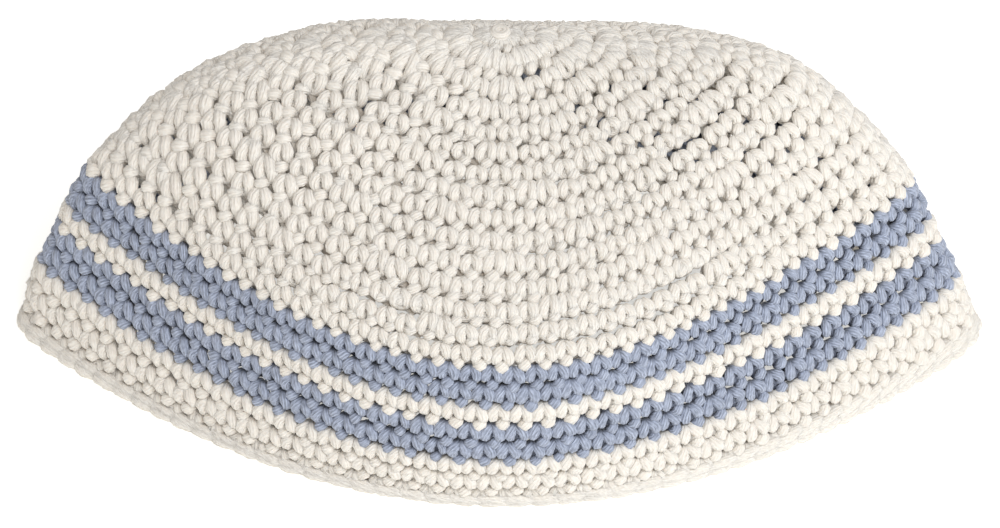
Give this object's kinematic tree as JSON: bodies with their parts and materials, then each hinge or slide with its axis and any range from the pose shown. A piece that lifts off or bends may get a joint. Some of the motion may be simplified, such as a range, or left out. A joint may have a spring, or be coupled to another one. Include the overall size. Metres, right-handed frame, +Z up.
{
  "type": "kippah skullcap",
  "caption": "Crocheted cotton skullcap with a soft fold at each end, light blue stripes near the rim and an open hollow for the head.",
  "frame": {"origin": "on the floor, under the middle of the cap", "axes": "+Z up from the rim to the crown, X from fold to fold, -Y towards the front"},
  "size_m": [0.2308, 0.127, 0.092],
  "materials": {
    "cream_cotton": "matt crocheted cotton yarn",
    "blue_cotton": "matt crocheted cotton yarn"
  },
  "bodies": {
    "root": {"crown": "cream_cotton", "upper_stripe": "blue_cotton", "middle_round": "cream_cotton", "lower_stripe": "blue_cotton", "rim_border": "cream_cotton"}
  },
  "joints": []
}
